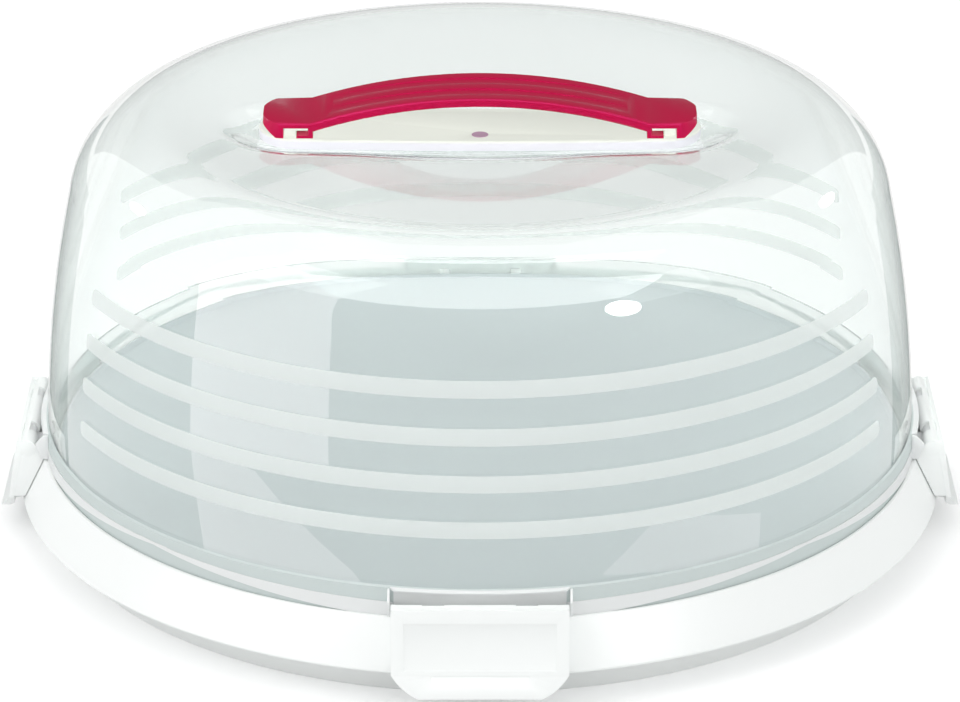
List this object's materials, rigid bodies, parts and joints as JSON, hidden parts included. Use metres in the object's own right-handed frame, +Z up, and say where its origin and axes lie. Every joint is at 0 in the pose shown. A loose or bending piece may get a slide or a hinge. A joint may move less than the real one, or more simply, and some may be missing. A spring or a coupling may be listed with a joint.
{
  "type": "cake carrier with clip-on domed lid",
  "caption": "Round cake carrier: white tray base, loose serving plate, clear domed lid with frosted bands, snap clips and a strap handle.",
  "frame": {"origin": "centre of the circle the foot ring stands on, at table height", "axes": "+Z up through the dome's middle, -Y towards the front clip, +X to the right along the handle"},
  "size_m": [0.3566, 0.3566, 0.1657],
  "materials": {
    "white_plastic": "glossy moulded white",
    "grey_plastic": "satin pale blue-grey",
    "clear_plastic": "clear, with satin frosted bands",
    "cream_plastic": "milky cream, satin",
    "raspberry_plastic": "glossy raspberry red"
  },
  "bodies": {
    "base": {"base_tray": "white_plastic"},
    "plate": {"serving_plate": "grey_plastic"},
    "lid": {"lid": "clear_plastic", "handle_seat": "cream_plastic"},
    "handle": {"handle": "raspberry_plastic"},
    "clip_front": {"clip_front": "white_plastic"},
    "clip_right": {"clip_right": "white_plastic"},
    "clip_back": {"clip_back": "white_plastic"},
    "clip_left": {"clip_left": "white_plastic"}
  },
  "joints": [
    {"name": "lid_lift", "type": "slide", "parent": "base", "child": "lid", "axis": [0, 0, 1], "range_m": [0, 0.18]},
    {"name": "plate_lift", "type": "slide", "parent": "base", "child": "plate", "axis": [0, 0, 1], "range_m": [0, 0.02]},
    {"name": "handle_play", "type": "slide", "parent": "lid", "child": "handle", "axis": [0, 0, 1], "range_m": [0, 0.001]},
    {"name": "clip_front_hinge", "type": "hinge", "parent": "lid", "child": "clip_front", "pos_m": [0, -0.1669, 0.0347], "axis": [-1, 0, 0], "range_deg": [0, 110]},
    {"name": "clip_right_hinge", "type": "hinge", "parent": "lid", "child": "clip_right", "pos_m": [0.1669, 0, 0.0347], "axis": [0, -1, 0], "range_deg": [0, 110]},
    {"name": "clip_back_hinge", "type": "hinge", "parent": "lid", "child": "clip_back", "pos_m": [0, 0.1669, 0.0347], "axis": [1, 0, 0], "range_deg": [0, 110]},
    {"name": "clip_left_hinge", "type": "hinge", "parent": "lid", "child": "clip_left", "pos_m": [-0.1669, 0, 0.0347], "axis": [0, 1, 0], "range_deg": [0, 110]}
  ]
}
